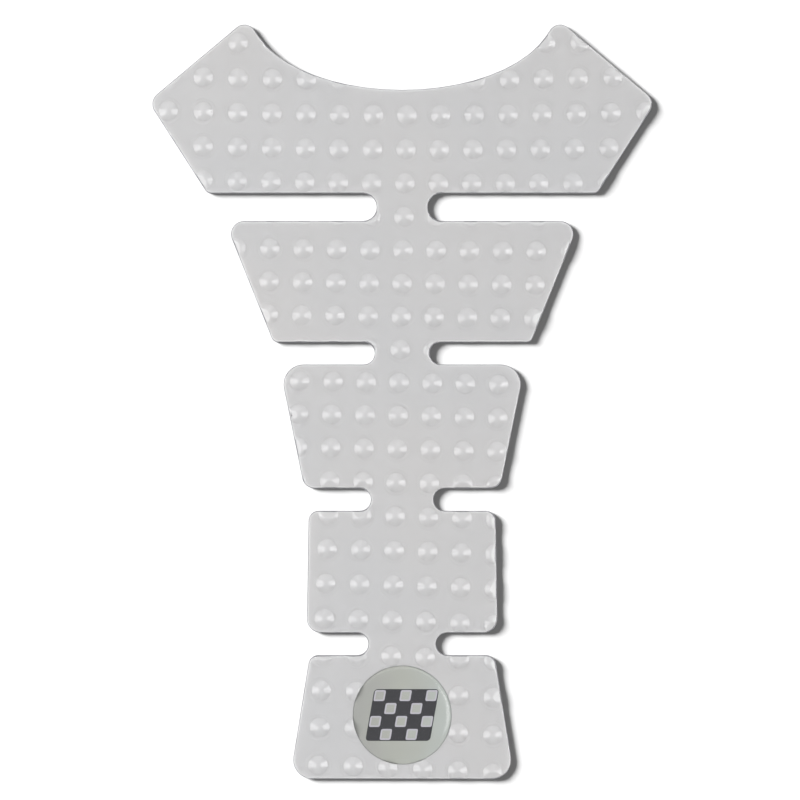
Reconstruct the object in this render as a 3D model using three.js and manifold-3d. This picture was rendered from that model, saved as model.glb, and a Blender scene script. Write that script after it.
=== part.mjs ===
// Motorcycle tank pad: a studded sheet of soft clear polyurethane, die-cut to a winged spine outline,
// with a round domed badge seated near its narrow end.
// Millimetres. The pad lies on its adhesive back at z = 0, +Z leads out of the tank and +Y towards the
// wings. The origin is the middle of the outline.

import * as THREE from 'three';
import { mergeGeometries, mergeVertices } from 'three/addons/utils/BufferGeometryUtils.js';
import Module from 'manifold-3d';

// Moulded sheet and its grid of conical studs
const SHEET_THICKNESS = 1.5;
const STUD_RADIUS = 2.6;
const STUD_HEIGHT = 1.1;
const STUD_ROOT = 0.4; // how deep a stud's cone runs on into the sheet
const STUD_PITCH = 8.42;
const ROW_SKEW = THREE.MathUtils.degToRad(-0.27); // the grid lies slightly askew under the die
const COLUMN_LEAN = THREE.MathUtils.degToRad(-1.67);
const GRID_OPENING = 5e-6; // per square millimetre: the grid opens out away from its centre
const GRID_CENTRE_Y = 16.3;
const FIRST_STUD = new THREE.Vector2(-0.45, -2.95); // measured from the grid's centre

// Wings. Heights are measured down from the sharp corner of a wing tip.
const WING = {
  tipHalf: 39.64,
  shoulderHalf: 64.72,
  footHalf: 49.72,
  shoulderDrop: 21.07,
  height: 44.46,
  tipCorner: 3.05,
  shoulderCorner: 3.3,
  footCorner: 1.8,
};

// Elliptical scoop between the wings, for the edge of the fuel cap's surround
const SCOOP = { halfWidth: 38.8, depth: 20.4, drop: 18.1 };

// Below the wings: each tab with the pair of round-ended slots above it
const UPPER_TAB = {
  slot: 7.07,
  spineHalf: 6.48,
  height: 30.9,
  topHalf: 45.28,
  topCorner: 3.4,
  footHalf: 32.83,
  footCorner: 1.65,
};
const MIDDLE_TAB = {
  slot: 5.69,
  spineHalf: 6.99,
  height: 31.55,
  topHalf: 31.38,
  topCorner: 5.1,
  footHalf: 24.95,
  footCorner: 3.06,
};
const LOWER_TAB = {
  slot: 5.77,
  spineHalf: 7.96,
  height: 31.07,
  topHalf: 23.83,
  topCorner: 2.55,
  footHalf: 24.34,
  footCorner: 3.57,
};
const BADGE_TAB = {
  slot: 5.74,
  spineHalf: 8.6,
  height: 31.58,
  topHalf: 23.55,
  topCorner: 2.55,
  footHalf: 28.65,
  footCorner: 4.95,
};
const TABS_FROM_TOP = [UPPER_TAB, MIDDLE_TAB, LOWER_TAB, BADGE_TAB];

// Domed badge and its seat
const BADGE_RADIUS = 12.5;
const BADGE_FROM_FOOT = 16.36; // badge centre above the pad's lowest edge
const SEAT_DEPTH = 0.3;
const SEAT_FLOOR = SHEET_THICKNESS - SEAT_DEPTH;
const SEAT_CLEARANCE = 0.3;
const FILM_THICKNESS = 0.25;
const DOME_HEIGHT = 1.6;
const DOME_EDGE_FULLNESS = 3.2; // exponent of the dome's section: higher is flatter in the middle

// How far the uncut sheet and the cutting tools reach past what they cut
const OVERRUN = 5;

// Facets
const ARC_STEPS = 5;
const STUD_SIDES = 16;
const BADGE_SIDES = 72;
const DOME_STEPS = 9;

const wasm = await Module();
wasm.setup();

function solidOf(geometry) {
  const bare = geometry.clone();
  bare.deleteAttribute('normal');
  bare.deleteAttribute('uv');
  const merged = mergeVertices(bare);
  return new wasm.Manifold(new wasm.Mesh({
    numProp: 3,
    vertProperties: new Float32Array(merged.attributes.position.array),
    triVerts: new Uint32Array(merged.index.array),
  }));
}

function geometryOf(solid) {
  const mesh = solid.getMesh();
  const geometry = new THREE.BufferGeometry();
  geometry.setAttribute('position', new THREE.BufferAttribute(mesh.vertProperties, 3));
  geometry.setIndex(new THREE.BufferAttribute(mesh.triVerts, 1));
  geometry.computeVertexNormals();
  return geometry;
}

// A column of round section standing on z = foot
function roundColumn(radius, foot, height) {
  return new THREE.CylinderGeometry(radius, radius, height, BADGE_SIDES)
    .rotateX(Math.PI / 2)
    .translate(0, 0, foot + height / 2);
}

// Runs the path up to a sharp corner and round it, on an arc that touches both of its edges
function roundCorner(path, before, corner, after, radius) {
  const toBefore = before.clone().sub(corner).normalize();
  const toAfter = after.clone().sub(corner).normalize();
  const halfAngle = toBefore.angleTo(toAfter) / 2;
  const reach = radius / Math.tan(halfAngle);
  const centre = toBefore.clone().add(toAfter).setLength(radius / Math.sin(halfAngle)).add(corner);
  const start = toBefore.multiplyScalar(reach).add(corner).sub(centre);
  const end = toAfter.multiplyScalar(reach).add(corner).sub(centre);
  path.absarc(centre.x, centre.y, radius, start.angle(), end.angle(), start.cross(end) < 0);
}

// Sharp corners of the right half, one tier of two corners each, from the lowest tab up to the wing
function tiersFromFoot() {
  const tiers = [];
  let top = -WING.height;
  for (const tab of TABS_FROM_TOP) {
    const upper = new THREE.Vector2(tab.topHalf, top - tab.slot);
    const lower = new THREE.Vector2(tab.footHalf, upper.y - tab.height);
    tiers.unshift({ ...tab, upper, lower });
    top = lower.y;
  }
  return tiers;
}

function rightHalf() {
  const tiers = tiersFromFoot();
  const path = new THREE.Path();
  path.moveTo(0, tiers[0].lower.y);
  for (const { upper, lower, slot, spineHalf, topCorner, footCorner } of tiers) {
    roundCorner(path, new THREE.Vector2(0, lower.y), lower, upper, footCorner);
    roundCorner(path, lower, upper, new THREE.Vector2(0, upper.y), topCorner);
    path.absarc(spineHalf + slot / 2, upper.y + slot / 2, slot / 2, -Math.PI / 2, Math.PI / 2, true);
  }

  const foot = new THREE.Vector2(WING.footHalf, -WING.height);
  const shoulder = new THREE.Vector2(WING.shoulderHalf, -WING.shoulderDrop);
  const tip = new THREE.Vector2(WING.tipHalf, 0);
  const scoopCentreY = SCOOP.depth - SCOOP.drop;
  // Seen on the unit circle, the line from the tip touches the scoop's ellipse at this angle
  const tipOnCircle = new THREE.Vector2(tip.x / SCOOP.halfWidth, (tip.y - scoopCentreY) / SCOOP.depth);
  const touch = Math.atan2(tipOnCircle.y, tipOnCircle.x) - Math.acos(1 / tipOnCircle.length());
  const scoopEnd = new THREE.Vector2(
    SCOOP.halfWidth * Math.cos(touch),
    scoopCentreY + SCOOP.depth * Math.sin(touch),
  );
  roundCorner(path, new THREE.Vector2(0, foot.y), foot, shoulder, WING.footCorner);
  roundCorner(path, foot, shoulder, tip, WING.shoulderCorner);
  roundCorner(path, shoulder, tip, scoopEnd, WING.tipCorner);
  path.absellipse(0, scoopCentreY, SCOOP.halfWidth, SCOOP.depth, touch, -Math.PI / 2, true);
  return path.getPoints(ARC_STEPS);
}

// Both halves of the outline, moved so that the middle of its box is the origin
function outlineShape() {
  const right = rightHalf();
  const left = right.slice(1, -1).map(({ x, y }) => new THREE.Vector2(-x, y)).reverse();
  const points = [...right, ...left];
  const middle = new THREE.Box2().setFromPoints(points).getCenter(new THREE.Vector2());
  return new THREE.Shape(points.map((point) => point.sub(middle)));
}

// Where the stud of one column and row stands, on a square grid that opens out from its centre
function studPlace(column, row) {
  const along = FIRST_STUD.x + column * STUD_PITCH;
  const up = FIRST_STUD.y + row * STUD_PITCH;
  const place = new THREE.Vector2(
    along * Math.cos(ROW_SKEW) - up * Math.sin(COLUMN_LEAN),
    along * Math.sin(ROW_SKEW) + up * Math.cos(COLUMN_LEAN),
  );
  place.multiplyScalar(1 + GRID_OPENING * place.lengthSq());
  place.y += GRID_CENTRE_Y;
  return place;
}

// One cone whose flank runs on into the sheet, so that it meets the face at the stud's radius
function studGeometry() {
  const height = STUD_HEIGHT + STUD_ROOT;
  const rootRadius = STUD_RADIUS * height / STUD_HEIGHT;
  return new THREE.ConeGeometry(rootRadius, height, STUD_SIDES)
    .rotateX(Math.PI / 2)
    .translate(0, 0, SHEET_THICKNESS - STUD_ROOT + height / 2);
}

function studField(box) {
  const stud = studGeometry();
  const size = box.getSize(new THREE.Vector2());
  const reach = Math.ceil(Math.max(size.x, size.y) / STUD_PITCH);
  const studs = [];
  for (let row = -reach; row <= reach; row += 1) {
    for (let column = -reach; column <= reach; column += 1) {
      const place = studPlace(column, row);
      if (box.distanceToPoint(place) < STUD_RADIUS) {
        studs.push(stud.clone().translate(place.x, place.y, 0));
      }
    }
  }
  return mergeGeometries(studs);
}

function gripPad(shape, badgeY) {
  const box = new THREE.Box2().setFromPoints(shape.getPoints());
  const size = box.clone().expandByScalar(STUD_RADIUS + OVERRUN).getSize(new THREE.Vector2());
  const sheet = new THREE.BoxGeometry(size.x, size.y, SHEET_THICKNESS).translate(0, 0, SHEET_THICKNESS / 2);
  const die = new THREE.ExtrudeGeometry(shape, {
    depth: SHEET_THICKNESS + STUD_HEIGHT + 2 * OVERRUN,
    bevelEnabled: false,
  }).translate(0, 0, -OVERRUN);
  const seat = roundColumn(BADGE_RADIUS + SEAT_CLEARANCE, SEAT_FLOOR, SEAT_DEPTH + STUD_HEIGHT + OVERRUN)
    .translate(0, badgeY, 0);

  const moulded = solidOf(sheet).add(solidOf(studField(box)));
  const cut = moulded.intersect(solidOf(die)).subtract(solidOf(seat));
  const mesh = new THREE.Mesh(geometryOf(cut), new THREE.MeshStandardMaterial({
    color: 0xcbcbcb,
    roughness: 0.3,
    metalness: 0,
  }));
  mesh.name = 'grip_pad';
  return mesh;
}

function badgeFilm(badgeY) {
  const film = roundColumn(BADGE_RADIUS, SEAT_FLOOR, FILM_THICKNESS);
  const mesh = new THREE.Mesh(film, new THREE.MeshStandardMaterial({
    color: 0xb0b2aa,
    roughness: 0.4,
    metalness: 0,
  }));
  mesh.name = 'badge_film';
  mesh.position.set(0, badgeY, 0);
  return mesh;
}

// Resin poured on the film: nearly flat in the middle, full at the rim
function badgeDome(badgeY) {
  const profile = [new THREE.Vector2(0, 0)];
  for (let step = 0; step <= DOME_STEPS; step += 1) {
    const angle = (step / DOME_STEPS) * (Math.PI / 2);
    profile.push(new THREE.Vector2(
      step === DOME_STEPS ? 0 : BADGE_RADIUS * Math.cos(angle) ** (2 / DOME_EDGE_FULLNESS),
      DOME_HEIGHT * Math.sin(angle),
    ));
  }
  const dome = new THREE.LatheGeometry(profile, BADGE_SIDES).rotateX(Math.PI / 2);
  const mesh = new THREE.Mesh(dome, new THREE.MeshStandardMaterial({
    color: 0xdfe6e2,
    roughness: 0.08,
    metalness: 0,
    transparent: true,
    opacity: 0.35,
  }));
  mesh.name = 'badge_dome';
  mesh.position.set(0, badgeY, SEAT_FLOOR + FILM_THICKNESS);
  return mesh;
}

const shape = outlineShape();
const footY = Math.min(...shape.getPoints().map((point) => point.y));
const badgeY = footY + BADGE_FROM_FOOT;

const group = new THREE.Group();
group.add(gripPad(shape, badgeY), badgeFilm(badgeY), badgeDome(badgeY));

export default group;
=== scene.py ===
"""Motorcycle tank pad seen straight from above: a moulded sheet of translucent grey polyurethane
with a grid of small conical studs, cut to a winged spine outline, with a resin-domed badge seated
near its foot."""

import math

import bpy
import numpy
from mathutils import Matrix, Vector
from mathutils.geometry import delaunay_2d_cdt


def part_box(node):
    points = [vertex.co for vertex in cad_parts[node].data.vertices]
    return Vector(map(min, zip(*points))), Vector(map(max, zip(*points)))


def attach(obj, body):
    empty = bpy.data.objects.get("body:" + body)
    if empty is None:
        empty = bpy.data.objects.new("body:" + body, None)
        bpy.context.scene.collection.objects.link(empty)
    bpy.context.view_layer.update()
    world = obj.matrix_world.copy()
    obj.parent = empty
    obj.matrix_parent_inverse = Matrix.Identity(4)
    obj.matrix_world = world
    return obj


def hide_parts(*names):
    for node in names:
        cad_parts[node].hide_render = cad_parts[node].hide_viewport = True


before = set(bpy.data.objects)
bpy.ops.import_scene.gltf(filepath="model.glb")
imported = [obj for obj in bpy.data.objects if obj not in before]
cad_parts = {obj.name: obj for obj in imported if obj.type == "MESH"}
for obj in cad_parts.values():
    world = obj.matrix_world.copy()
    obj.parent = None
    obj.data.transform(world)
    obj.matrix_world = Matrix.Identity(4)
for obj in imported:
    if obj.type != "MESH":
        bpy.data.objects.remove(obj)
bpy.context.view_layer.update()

MM = 0.001

# Sheet and studs, as moulded. The rows lie askew to the outline and fan out towards its foot.
STUD_RADIUS = 2.6 * MM
STUD_HEIGHT = 1.1 * MM
STUD_PITCH = 8.42 * MM
ROW_SKEW = math.radians(-0.94)
ROW_FAN = 2.4e-4 / MM
COLUMN_LEAN = math.radians(-1.67)
GRID_OPENING = 5e-6 / MM**2
GRID_CENTRE = Vector((0.0, 16.3 * MM))
FIRST_STUD = Vector((-0.45 * MM, -2.95 * MM))
STUD_TIP_RADIUS = 1.2 * MM
STUD_FOOT_BLEND = 0.07 * MM
COLLAR_INNER = 3.0 * MM
COLLAR_OUTER = 3.46 * MM
COLLAR_HEIGHT = 0.06 * MM
STUD_SIDES = 32
STUD_RINGS_MM = (0.3, 0.65, 1.05, 1.5, 1.95, 2.38, 2.48, 2.6, 2.98, 3.1, 3.23, 3.36, 3.48)

# Soft edge that the cutting die leaves round the top face, and how high it leaves a stud at the cut
EDGE_WIDTH = 0.36 * MM
EDGE_DEPTH = 0.5 * MM
EDGE_STEPS = 5
CUT_STUD_HEIGHT = 0.05 * MM
CUT_STUD_SLOPE = 0.5
PAD_SMOOTH = math.radians(38)

# Badge and its seat
SEAT_GAP = 0.05 * MM
SEAT_EDGE = 0.08 * MM
BADGE_SIDES = 144
FILM_EDGE = 0.04 * MM
FILM_SMOOTH = math.radians(30)
DOME_STEPS = 24
DOME_EDGE_FULLNESS = 3.2
DOME_SMOOTH = math.radians(50)

# Chequered flag printed on the badge's film
FLAG_COLUMNS = 5
FLAG_ROWS = 4
FLAG_CELL = 3.3 * MM
FLAG_LEAN = math.radians(10)
FLAG_CORNER = 0.9 * MM
WINDOW_HALF = 1.4 * MM
WINDOW_CORNER = 0.45 * MM
KEYLINE = 0.4 * MM
INK_THICKNESS = 0.015 * MM
INK_LAYERS = 3
RESIN_GAP = 0.005 * MM
CORNER_STEPS = 5

# Polyurethane: its faint clouds, how far light spreads inside it, and the mould's grain, which is
# drawn coarser than it is so that it shows
CLOUD_SIZE = 38 * MM
LIGHT_SPREAD = 2.4 * MM
GRAIN_SIZE = 0.9 * MM
GRAIN_DEPTH = 0.02 * MM
GRAIN_STRENGTH = 0.08

# How level the surface still is where the matt cut and the painted shade on steep faces begin and where
# they are full; 1 is level
SHADE_AND_MATT_BEGINS = 0.85
SHADE_AND_MATT_FULL = 0.76

# Printed film: the stretch over which its tint turns to a lighter pale aqua, a painted sheen, and the size
# of its clouds
SHEEN_HALF_WIDTH = 12.5 * MM
FILM_CLOUD_SIZE = 8 * MM

# Screen ink: size of its uneven patches, and how dark the thickest are beside the thinnest
INK_PATCH_SIZE = 1.5 * MM
INK_SHADE = 0.92

# Camera above the pad, which it sees about as large as the photograph does
FRAME_WIDTH = 204.1 * MM
VIEW_CENTRE = Vector((-0.56 * MM, 0.47 * MM, 0.0))
LENS_MM = 300.0
SENSOR_MM = 36.0

# How bright the room is where no lamp shines; 1 is white
ROOM_LEVEL = 0.26

# Lamps that hang level over the pad: left, right, near and far edge, height and radiance
LEFT_PANEL = (-0.95, -0.30, -0.33, 0.22, 0.40, 4.3)
RIGHT_PANEL = (0.58, 1.50, -0.44, 0.46, 0.80, 5.2)
BACK_PANEL = (-1.3, 1.3, 0.70, 2.4, 0.80, 1.7)
FRONT_FILL = (-1.3, 1.3, -2.2, -0.6, 0.80, 1.15)

# Lamp for the paper alone, which throws the pad's shadow
TABLE_LAMP_LEVEL = 3.6
TABLE_LAMP_ANGLE = math.radians(24)
TABLE_LAMP_DIRECTION = Vector((0.98, -0.46, -0.6))
PAPER_HALF_WIDTH = 3.0

# Fineness of the mesh work
LEVEL_TOLERANCE = 0.001 * MM
POINTS_AT_ONCE = 4000
FILL_WHOLE_HULL = 0
SAME_POINT = 1e-6 * MM


def hex_colour(code):
    """An sRGB hex colour as linear red, green, blue and full alpha."""
    parts = [int(code[i:i + 2], 16) / 255 for i in (1, 3, 5)]
    linear = [c / 12.92 if c <= 0.04045 else ((c + 0.055) / 1.055) ** 2.4 for c in parts]
    return (*linear, 1.0)


def add_node(tree, kind, settings=None, inputs=None):
    """Adds one node, sets its own settings, and sets or links its sockets."""
    node = tree.nodes.new(kind)
    for name, value in (settings or {}).items():
        setattr(node, name, value)
    for name, value in (inputs or {}).items():
        if isinstance(value, bpy.types.NodeSocket):
            tree.links.new(value, node.inputs[name])
        else:
            node.inputs[name].default_value = value
    return node


def new_material(name):
    """An empty node material with its output node."""
    material = bpy.data.materials.new(name)
    material.use_nodes = True
    material.node_tree.nodes.clear()
    output = add_node(material.node_tree, "ShaderNodeOutputMaterial")
    return material, material.node_tree, output


def finish_material(tree, output, shader):
    """Links the shader to the material's output."""
    tree.links.new(shader, output.inputs["Surface"])


def new_object(name, verts, faces, material, smooth_angle=None):
    """A mesh object at the origin, shaded smooth up to an angle."""
    mesh = bpy.data.meshes.new(name)
    mesh.from_pydata([tuple(v) for v in verts], [], [tuple(f) for f in faces])
    mesh.validate()
    if smooth_angle is not None:
        mesh.shade_smooth()
        mesh.set_sharp_from_angle(angle=smooth_angle)
    mesh.materials.append(material)
    obj = bpy.data.objects.new(name, mesh)
    bpy.context.scene.collection.objects.link(obj)
    return obj


def moulded_polyurethane():
    """Soft polyurethane moulded in sheet. To the eye it is an even pale grey with a wet gloss on the
    studs, softened by light that spreads inside it, with very faint clouds of colour. Where the die has
    cut it, it is matt; its steep cut faces are also painted darker grey, which is painted shade."""
    material, tree, output = new_material("moulded_polyurethane")
    place = add_node(tree, "ShaderNodeTexCoord")
    clouds = add_node(tree, "ShaderNodeTexNoise", inputs={
        "Vector": place.outputs["Object"], "Scale": 1 / CLOUD_SIZE, "Detail": 2.0, "Roughness": 0.45,
    })
    tint = add_node(tree, "ShaderNodeValToRGB", inputs={"Fac": clouds.outputs["Fac"]})
    ramp = tint.color_ramp
    ramp.elements[0].position = 0.3
    ramp.elements[0].color = hex_colour("#bdbdbe")
    ramp.elements[1].position = 0.7
    ramp.elements[1].color = hex_colour("#bfbebe")
    grain = add_node(tree, "ShaderNodeTexNoise", inputs={
        "Vector": place.outputs["Object"], "Scale": 1 / GRAIN_SIZE, "Detail": 2.0,
    })
    relief = add_node(tree, "ShaderNodeBump", inputs={
        "Height": grain.outputs["Fac"], "Strength": GRAIN_STRENGTH, "Distance": GRAIN_DEPTH,
    })
    facing = add_node(tree, "ShaderNodeSeparateXYZ", inputs={"Vector": place.outputs["Normal"]})
    # Steep faces, the cut walls and the soft edge, turn matt, and their colour is painted darker: painted
    # shade
    matt_cut_and_painted_shade = add_node(tree, "ShaderNodeMapRange", inputs={
        "Value": facing.outputs["Z"], "From Min": SHADE_AND_MATT_BEGINS, "From Max": SHADE_AND_MATT_FULL,
    })
    # The dark grey mixed in on steep faces is painted shade, not the polyurethane's own colour
    colour = add_node(tree, "ShaderNodeMixRGB", inputs={
        "Fac": matt_cut_and_painted_shade.outputs["Result"],
        "Color1": tint.outputs["Color"],
        "Color2": hex_colour("#808083"),
    })
    roughness = add_node(tree, "ShaderNodeMapRange", inputs={
        "Value": matt_cut_and_painted_shade.outputs["Result"], "To Min": 0.07, "To Max": 0.8,
    })
    shader = add_node(tree, "ShaderNodeBsdfPrincipled", inputs={
        "Base Color": colour.outputs["Color"],
        "Normal": relief.outputs["Normal"],
        "Roughness": roughness.outputs["Result"],
        "IOR": 1.5,
        "Subsurface Weight": 1.0,
        "Subsurface Radius": (1.0, 1.0, 1.0),
        "Subsurface Scale": LIGHT_SPREAD,
    })
    finish_material(tree, output, shader.outputs["BSDF"])
    return material


def sheen_painted_film():
    """Vinyl film printed under the resin. To the eye it is a soft greenish grey with slight clouds in it.
    From one side to the other it turns from warm to a lighter pale aqua, which is a painted sheen."""
    material, tree, output = new_material("printed_vinyl_film_painted_sheen")
    place = add_node(tree, "ShaderNodeTexCoord")
    clouds = add_node(tree, "ShaderNodeTexNoise", inputs={
        "Vector": place.outputs["Object"], "Scale": 1 / FILM_CLOUD_SIZE, "Detail": 1.0,
    })
    across = add_node(tree, "ShaderNodeSeparateXYZ", inputs={"Vector": place.outputs["Object"]})
    # Painted sheen: the tint turns lighter and aqua from the left side of the disc to the right
    turn = add_node(tree, "ShaderNodeMapRange", inputs={
        "Value": across.outputs["X"],
        "From Min": -SHEEN_HALF_WIDTH, "From Max": SHEEN_HALF_WIDTH,
        "To Min": -0.25, "To Max": 0.75,
    })
    turned = add_node(tree, "ShaderNodeMath", settings={"operation": "MULTIPLY_ADD"}, inputs={
        0: clouds.outputs["Fac"], 1: 0.5, 2: turn.outputs["Result"],
    })
    # The ramp runs from the warm grey to the lighter aqua of the painted sheen
    tint = add_node(tree, "ShaderNodeValToRGB", inputs={"Fac": turned.outputs["Value"]})
    ramp = tint.color_ramp
    ramp.elements[0].position = 0.1
    ramp.elements[0].color = hex_colour("#9a9b97")
    ramp.elements[1].position = 0.9
    ramp.elements[1].color = hex_colour("#a8ada9")
    middle = ramp.elements.new(0.5)
    middle.color = hex_colour("#a2a49d")
    shader = add_node(tree, "ShaderNodeBsdfPrincipled", inputs={
        "Base Color": tint.outputs["Color"],
        "Roughness": 0.5,
        "IOR": 1.46,
        "Specular IOR Level": 0.2,
    })
    finish_material(tree, output, shader.outputs["BSDF"])
    return material


def screen_ink(name, code):
    """Screen-printed ink. To the eye it is flat and opaque, with a slightly uneven laydown."""
    material, tree, output = new_material(name)
    place = add_node(tree, "ShaderNodeTexCoord")
    laydown = add_node(tree, "ShaderNodeTexNoise", inputs={
        "Vector": place.outputs["Object"], "Scale": 1 / INK_PATCH_SIZE, "Detail": 2.0,
    })
    colour = hex_colour(code)
    tint = add_node(tree, "ShaderNodeValToRGB", inputs={"Fac": laydown.outputs["Fac"]})
    tint.color_ramp.elements[0].color = [c * INK_SHADE for c in colour[:3]] + [1.0]
    tint.color_ramp.elements[1].color = colour
    shader = add_node(tree, "ShaderNodeBsdfPrincipled", inputs={
        "Base Color": tint.outputs["Color"], "Roughness": 0.5, "Specular IOR Level": 0.2,
    })
    finish_material(tree, output, shader.outputs["BSDF"])
    return material


def poured_resin():
    """Clear doming resin, poured. To the eye the print shows through it, and its curved rim mirrors the
    lamps. Its far side, seen from inside, adds no gloss."""
    material, tree, output = new_material("poured_doming_resin")
    gloss_share = add_node(tree, "ShaderNodeFresnel", inputs={"IOR": 1.5})
    side = add_node(tree, "ShaderNodeNewGeometry")
    front = add_node(tree, "ShaderNodeMath", settings={"operation": "SUBTRACT"}, inputs={
        0: 1.0, 1: side.outputs["Backfacing"],
    })
    share = add_node(tree, "ShaderNodeMath", settings={"operation": "MULTIPLY"}, inputs={
        0: gloss_share.outputs["Fac"], 1: front.outputs["Value"],
    })
    clear = add_node(tree, "ShaderNodeBsdfTransparent", inputs={"Color": hex_colour("#fefefe")})
    gloss = add_node(tree, "ShaderNodeBsdfGlossy", inputs={"Roughness": 0.15})
    mix = add_node(tree, "ShaderNodeMixShader", inputs={
        0: share.outputs["Value"], 1: clear.outputs["BSDF"], 2: gloss.outputs["BSDF"],
    })
    finish_material(tree, output, mix.outputs["Shader"])
    return material


def seamless_paper():
    """Paper rolled out over a studio table. To the eye it is plain matt white."""
    material, tree, output = new_material("seamless_white_paper")
    shader = add_node(tree, "ShaderNodeBsdfDiffuse", inputs={"Color": hex_colour("#c6c6c6")})
    finish_material(tree, output, shader.outputs["BSDF"])
    return material


def outline_of(node):
    """The corners of a node's flat underside, in order, anticlockwise seen from above."""
    mesh = node.data
    places = {}
    index = []
    for vert in mesh.vertices:
        key = tuple(round(c / MM, 4) for c in vert.co)
        index.append(places.setdefault(key, len(places)))
    corners = [Vector(key) * MM for key in places]
    floor = min(c.z for c in corners)
    after = {}
    for face in mesh.polygons:
        loop = [index[v] for v in face.vertices]
        if all(corners[i].z - floor < LEVEL_TOLERANCE for i in loop):
            for i, j in zip(loop, loop[1:] + loop[:1]):
                if (j, i) in after:
                    del after[j, i]
                else:
                    after[i, j] = True
    # The underside's faces run clockwise seen from above, so each edge is walked backwards
    step = {j: i for i, j in after}
    start = here = next(iter(step))
    points = [corners[start].xy]
    while step[here] != start:
        here = step[here]
        points.append(corners[here].xy)
    return points


def distance_to_point(points, centre):
    """How far each point lies from one place."""
    return numpy.hypot(*(points - numpy.array(centre)).T)


def distance_to_loop(points, loop):
    """How far each point lies from a closed loop, negative outside it."""
    start = numpy.array([tuple(p) for p in loop])
    end = numpy.roll(start, -1, axis=0)
    along = end - start
    length_squared = (along**2).sum(1)
    result = numpy.empty(len(points))
    for first in range(0, len(points), POINTS_AT_ONCE):
        part = points[first:first + POINTS_AT_ONCE]
        offset = part[:, None, :] - start[None, :, :]
        share = numpy.clip((offset * along).sum(2) / length_squared, 0, 1)
        gap = offset - share[:, :, None] * along
        near = numpy.sqrt((gap**2).sum(2).min(1))
        crosses = (start[:, 1] > part[:, 1:]) != (end[:, 1] > part[:, 1:])
        slope = offset[:, :, 1] / numpy.where(along[:, 1] == 0, 1, along[:, 1])
        left = part[:, :1] < start[:, 0] + slope * along[:, 0]
        inside = (crosses & left).sum(1) % 2 == 1
        result[first:first + POINTS_AT_ONCE] = numpy.where(inside, near, -near)
    return result


def inset(loop, distance):
    """The loop moved inwards by a small distance."""
    moved = []
    for before, here, after in zip(loop[-1:] + loop[:-1], loop, loop[1:] + loop[:1]):
        first = (here - before).normalized().orthogonal()
        second = (after - here).normalized().orthogonal()
        across = (first + second).normalized()
        moved.append(here + across * distance / across.dot(first))
    return moved


def circle(centre, radius, sides):
    """Corners of a circle, anticlockwise."""
    turn = 2 * math.pi / sides
    return [centre + radius * Vector((math.cos(k * turn), math.sin(k * turn))) for k in range(sides)]


def stud_place(column, row):
    """Where one stud stands, on a grid whose rows fan out and which opens a little from its centre."""
    along = FIRST_STUD.x + column * STUD_PITCH
    up = FIRST_STUD.y + row * STUD_PITCH
    place = Vector((
        along * math.cos(ROW_SKEW) - up * math.sin(COLUMN_LEAN),
        along * math.sin(ROW_SKEW + ROW_FAN * up) + up * math.cos(COLUMN_LEAN),
    ))
    return GRID_CENTRE + place * (1 + GRID_OPENING * place.length_squared)


def stud_places(loop):
    """Every stud that reaches into the outline, cut by it or not."""
    reach = math.ceil(max(abs(c) for point in loop for c in point) / STUD_PITCH) + 2
    span = range(-reach, reach + 1)
    places = [stud_place(column, row) for row in span for column in span]
    gaps = distance_to_loop(numpy.array([tuple(p) for p in places]), loop)
    return [place for place, gap in zip(places, gaps) if gap > -COLLAR_OUTER]


def stud_height(radius):
    """Height of a stud over the sheet's face: a cone with a rounded tip, which runs out in a low collar."""
    soft_radius = numpy.hypot(radius, STUD_TIP_RADIUS) - STUD_TIP_RADIUS
    soft_foot = math.hypot(STUD_RADIUS, STUD_TIP_RADIUS) - STUD_TIP_RADIUS
    cone = STUD_HEIGHT * (1 - soft_radius / soft_foot)
    collar_share = numpy.clip((COLLAR_OUTER - radius) / (COLLAR_OUTER - COLLAR_INNER), 0, 1)
    collar = COLLAR_HEIGHT * collar_share**2 * (3 - 2 * collar_share)
    over = cone - collar
    blend = numpy.clip((over + STUD_FOOT_BLEND) / (2 * STUD_FOOT_BLEND), 0, 1)
    return numpy.where(over > STUD_FOOT_BLEND, cone, collar + STUD_FOOT_BLEND * blend**2)


def edge_gaps(width):
    """How far from the cut the rows of a soft edge lie."""
    return [width * (1 - math.sin(math.pi / 2 * k / EDGE_STEPS)) for k in range(EDGE_STEPS, -1, -1)]


def edge_drop(gap, width, depth):
    """How far the face falls over a soft edge, at a distance from the cut."""
    share = numpy.clip(1 - gap / width, 0, 1)
    return depth * (1 - numpy.sqrt(1 - share**2))


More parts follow.
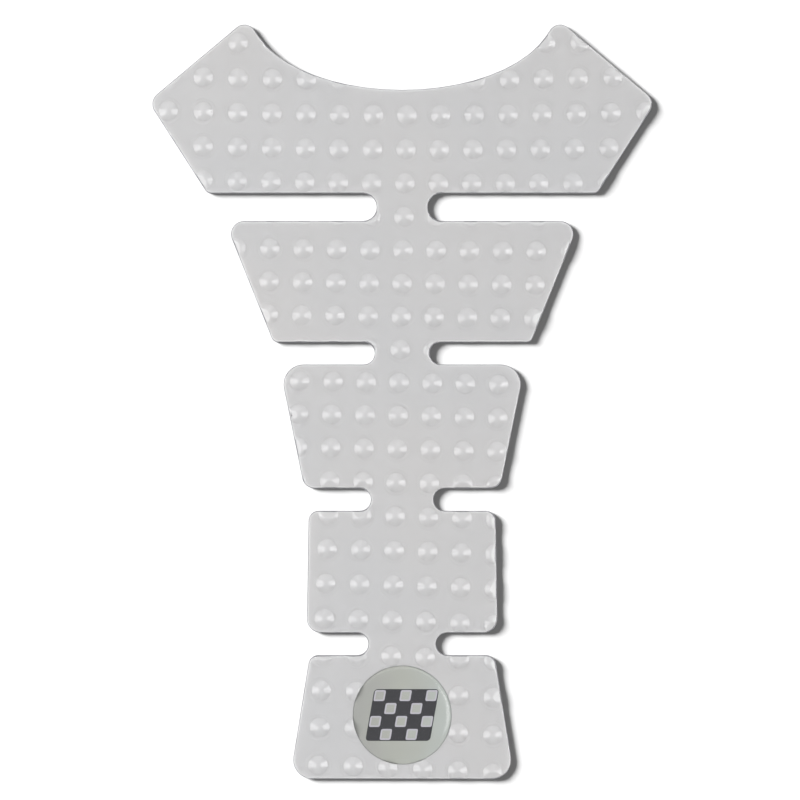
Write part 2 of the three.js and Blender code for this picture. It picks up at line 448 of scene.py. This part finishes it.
def grip_pad(material, badge_centre, seat_radius, seat_floor, sheet_top):
    """The studded sheet as one closed surface: face, cut walls, badge seat and flat back."""
    loop = outline_of(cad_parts["grip_pad"])
    curves = [inset(loop, gap) for gap in edge_gaps(EDGE_WIDTH)]
    curves += [circle(badge_centre, seat_radius + gap, BADGE_SIDES) for gap in edge_gaps(SEAT_EDGE)]
    studs = [
        place for place in stud_places(loop)
        if (place - badge_centre).length > seat_radius - COLLAR_OUTER
    ]
    for place in studs:
        curves += [circle(place, ring * MM, STUD_SIDES) for ring in STUD_RINGS_MM]

    points = list(studs)
    edges = []
    for curve in curves:
        first = len(points)
        points += curve
        edges += [(first + k, first + (k + 1) % len(curve)) for k in range(len(curve))]
    flat, _, triangles, *_ = delaunay_2d_cdt(
        points, edges, [], FILL_WHOLE_HULL, SAME_POINT, False,
    )

    flat = numpy.array([tuple(p) for p in flat])
    triangles = numpy.array(triangles)
    middles = flat[triangles].mean(1)
    seat_inner_radius = seat_radius * math.cos(math.pi / BADGE_SIDES)
    in_seat = distance_to_point(middles, badge_centre) < seat_inner_radius
    triangles = triangles[(distance_to_loop(middles, loop) > 0) & ~in_seat]

    cut_gap = numpy.maximum(distance_to_loop(flat, loop), 0)
    seat_gap = numpy.maximum(distance_to_point(flat, badge_centre) - seat_radius, 0)
    radius = numpy.full(len(flat), COLLAR_OUTER)
    for place in studs:
        radius = numpy.minimum(radius, distance_to_point(flat, place))
    highest = CUT_STUD_HEIGHT + cut_gap * CUT_STUD_SLOPE
    top = sheet_top + numpy.minimum(stud_height(radius), highest)
    top -= edge_drop(cut_gap, EDGE_WIDTH, EDGE_DEPTH) + edge_drop(seat_gap, SEAT_EDGE, SEAT_EDGE)

    used = sorted(set(triangles.ravel().tolist()))
    renumber = {old: new for new, old in enumerate(used)}
    verts = [(flat[i][0], flat[i][1], top[i]) for i in used]
    faces = [tuple(renumber[i] for i in triangle) for triangle in triangles.tolist()]
    faces = [f if anticlockwise(verts, f) else f[::-1] for f in faces]

    for rim in rims(faces):
        centre_gap = (Vector(verts[rim[0]][:2]) - badge_centre).length
        foot = seat_floor if centre_gap < seat_radius + SEAT_EDGE else 0.0
        low = len(verts)
        verts += [(verts[i][0], verts[i][1], foot) for i in rim]
        count = len(rim)
        for k in range(count):
            after = (k + 1) % count
            faces.append((rim[after], rim[k], low + k, low + after))
        faces.append(tuple(low + k for k in range(count))[::-1])
    return new_object("studded_pad", verts, faces, material, PAD_SMOOTH)


def anticlockwise(verts, face):
    """Whether a face runs anticlockwise seen from above."""
    (ax, ay, _), (bx, by, _), (cx, cy, _) = (verts[i] for i in face)
    return (bx - ax) * (cy - ay) > (cx - ax) * (by - ay)


def rims(faces):
    """The open edges of a surface, as closed loops of corners."""
    open_edges = set()
    for face in faces:
        for i, j in zip(face, face[1:] + face[:1]):
            if (j, i) in open_edges:
                open_edges.discard((j, i))
            else:
                open_edges.add((i, j))
    step = dict(sorted(open_edges))
    loops = []
    while step:
        here = next(iter(step))
        loop = []
        while here in step:
            loop.append(here)
            here = step.pop(here)
        loops.append(loop)
    return loops


def turned(name, profile, centre, sides, material, smooth_angle):
    """A closed body turned round the vertical line over centre. Its profile starts and ends on the axis."""
    rings = profile[1:-1]
    verts = [(centre.x, centre.y, profile[0][1])]
    for radius, height in rings:
        verts += [(p.x, p.y, height) for p in circle(centre, radius, sides)]
    verts.append((centre.x, centre.y, profile[-1][1]))
    faces = []
    for k in range(sides):
        after = (k + 1) % sides
        faces.append((0, 1 + after, 1 + k))
        for ring in range(len(rings) - 1):
            low = 1 + ring * sides
            high = low + sides
            faces.append((low + k, low + after, high + after, high + k))
        last = 1 + (len(rings) - 1) * sides
        faces.append((last + k, last + after, len(verts) - 1))
    return new_object(name, verts, faces, material, smooth_angle)


def badge_film(material, centre, radius, low, high):
    """Die-cut disc of film, with a slightly softened rim."""
    profile = [(0, low), (radius, low), (radius, high - FILM_EDGE), (radius - FILM_EDGE, high), (0, high)]
    return turned("badge_printed_film", profile, centre, BADGE_SIDES, material, FILM_SMOOTH)


def badge_dome(material, centre, radius, low, high):
    """Resin held by its own skin: nearly flat in the middle and full at the rim."""
    profile = [(0, low)]
    for step in range(DOME_STEPS + 1):
        angle = math.pi / 2 * step / DOME_STEPS
        out = math.cos(angle) ** (2 / DOME_EDGE_FULLNESS) if step < DOME_STEPS else 0
        profile.append((radius * out, low + (high - low) * math.sin(angle)))
    return turned("badge_resin_dome", profile, centre, BADGE_SIDES, material, DOME_SMOOTH)


def flag_block(middle, half_width, half_height, corner):
    """Outline of a round-cornered block, leaned over as the whole flag is."""
    outline = []
    for quarter, (right, up) in enumerate(((1, 1), (-1, 1), (-1, -1), (1, -1))):
        knee = middle + Vector((right * (half_width - corner), up * (half_height - corner)))
        for step in range(CORNER_STEPS + 1):
            angle = (quarter + step / CORNER_STEPS) * math.pi / 2
            outline.append(knee + corner * Vector((math.cos(angle), math.sin(angle))))
    return [Vector((p.x + p.y * math.tan(FLAG_LEAN), p.y)) for p in outline]


def flag_windows(grow):
    """The light cells of the chequer: every second one."""
    windows = []
    for row in range(FLAG_ROWS):
        for column in range(FLAG_COLUMNS):
            if (row + column) % 2:
                middle = Vector((column - (FLAG_COLUMNS - 1) / 2, row - (FLAG_ROWS - 1) / 2)) * FLAG_CELL
                half = WINDOW_HALF + grow
                windows.append(flag_block(middle, half, half, WINDOW_CORNER + grow))
    return windows


def ink_layer(name, material, outlines, centre, low):
    """One pass of the printing screen, as thin patches."""
    verts = []
    faces = []
    for outline in outlines:
        first = len(verts)
        count = len(outline)
        for height in (low, low + INK_THICKNESS):
            verts += [(centre.x + p.x, centre.y + p.y, height) for p in outline]
        faces.append(tuple(range(first, first + count))[::-1])
        faces.append(tuple(range(first + count, first + 2 * count)))
        for k in range(count):
            after = (k + 1) % count
            faces.append((first + k, first + after, first + count + after, first + count + k))
    return new_object(name, verts, faces, material)


def light_panel(name, left, right, near, far, height, radiance):
    """A rectangular lamp that hangs level over the table and shines straight down."""
    data = bpy.data.lights.new(name, "AREA")
    data.shape = "RECTANGLE"
    data.size = right - left
    data.size_y = far - near
    data.energy = radiance * math.pi * data.size * data.size_y
    lamp = bpy.data.objects.new(name, data)
    lamp.location = ((left + right) / 2, (near + far) / 2, height)
    bpy.context.scene.collection.objects.link(lamp)
    return lamp


def light_only(lamp, objects):
    """The lamp lights these objects and nothing else."""
    group = bpy.data.collections.new(lamp.name + "_lights")
    for obj in objects:
        group.objects.link(obj)
    lamp.light_linking.receiver_collection = group


def build_pad():
    """Every piece of the pad, riding on the one body."""
    film_low, film_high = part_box("badge_film")
    dome_low, dome_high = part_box("badge_dome")
    pad_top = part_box("grip_pad")[1][2]
    badge_centre = (Vector(film_low) + Vector(film_high)).xy / 2
    badge_radius = (film_high[0] - film_low[0]) / 2
    film_top = film_high[2] - INK_LAYERS * INK_THICKNESS - RESIN_GAP
    inks = [film_top + layer * INK_THICKNESS for layer in range(INK_LAYERS)]

    sheet_top = pad_top - STUD_HEIGHT
    pad = grip_pad(
        moulded_polyurethane(), badge_centre, badge_radius + SEAT_GAP,
        seat_floor=film_low[2], sheet_top=sheet_top,
    )
    film_material = sheen_painted_film()
    film = badge_film(film_material, badge_centre, badge_radius, film_low[2], film_top)
    flag_half = Vector((FLAG_COLUMNS, FLAG_ROWS)) * FLAG_CELL / 2
    plate = ink_layer(
        "badge_flag_charcoal", screen_ink("charcoal_screen_ink", "#26262a"),
        [flag_block(Vector((0, 0)), *flag_half, FLAG_CORNER)], badge_centre, inks[0],
    )
    keyline = ink_layer(
        "badge_flag_keylines", screen_ink("lavender_grey_screen_ink", "#b4b2ba"),
        flag_windows(0.0), badge_centre, inks[1],
    )
    window = ink_layer(
        "badge_flag_windows", film_material,
        flag_windows(-KEYLINE), badge_centre, inks[2],
    )
    dome = badge_dome(poured_resin(), badge_centre, badge_radius, dome_low[2], dome_high[2])
    replaced = {pad: "grip_pad", film: "badge_film", dome: "badge_dome"}
    slots = {
        pad: "polyurethane_sheet", film: "printed_film", plate: "printed_film",
        keyline: "printed_film", window: "printed_film", dome: "clear_resin",
    }
    for piece, slot in slots.items():
        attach(piece, "root")
        if piece in replaced:
            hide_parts(replaced[piece])
    return list(slots), dome


def build_studio(pieces, dome):
    """Paper table in a plain white room, four panels that light the pad, and a lamp for the paper and the
    shadow on it."""
    half = PAPER_HALF_WIDTH
    floor = new_object(
        "paper_table",
        [(-half, -half, 0), (half, -half, 0), (half, half, 0), (-half, half, 0)],
        [(0, 1, 2, 3)], seamless_paper(),
    )

    world = bpy.data.worlds.new("white_studio")
    world.use_nodes = True
    tree = world.node_tree
    tree.nodes.clear()
    path = add_node(tree, "ShaderNodeLightPath")
    seen = add_node(tree, "ShaderNodeMath", settings={"operation": "MAXIMUM"}, inputs={
        0: path.outputs["Is Camera Ray"], 1: path.outputs["Is Glossy Ray"],
    })
    seen = add_node(tree, "ShaderNodeMath", settings={"operation": "MAXIMUM"}, inputs={
        0: seen.outputs["Value"], 1: path.outputs["Is Transmission Ray"],
    })
    level = add_node(tree, "ShaderNodeMapRange", inputs={
        "Value": seen.outputs["Value"], "To Min": ROOM_LEVEL, "To Max": 1.0,
    })
    background = add_node(tree, "ShaderNodeBackground", inputs={
        "Color": hex_colour("#ffffff"), "Strength": level.outputs["Result"],
    })
    output = add_node(tree, "ShaderNodeOutputWorld")
    tree.links.new(background.outputs["Background"], output.inputs["Surface"])
    bpy.context.scene.world = world

    left = light_panel("left_panel", *LEFT_PANEL)
    light_only(left, [piece for piece in pieces if piece is not dome])
    light_only(light_panel("right_panel", *RIGHT_PANEL), pieces)
    light_only(light_panel("back_panel", *BACK_PANEL), pieces)
    front = light_panel("front_fill", *FRONT_FILL)
    front.visible_glossy = False
    light_only(front, pieces)

    sun = bpy.data.lights.new("table_lamp", "SUN")
    sun.energy = TABLE_LAMP_LEVEL * math.pi
    sun.angle = TABLE_LAMP_ANGLE
    lamp = bpy.data.objects.new("table_lamp", sun)
    lamp.rotation_euler = TABLE_LAMP_DIRECTION.to_track_quat("-Z", "Y").to_euler()
    bpy.context.scene.collection.objects.link(lamp)
    light_only(lamp, [floor])


def place_camera():
    """Looks straight down, from as far as the lens needs to take in the frame."""
    data = bpy.data.cameras.new("camera")
    data.lens = LENS_MM
    data.sensor_width = SENSOR_MM
    camera = bpy.data.objects.new("camera", data)
    camera.location = VIEW_CENTRE + Vector((0, 0, FRAME_WIDTH * LENS_MM / SENSOR_MM))
    bpy.context.scene.collection.objects.link(camera)
    bpy.context.scene.camera = camera


pieces, dome = build_pad()
build_studio(pieces, dome)
place_camera()
bpy.context.scene.view_settings.view_transform = "Standard"
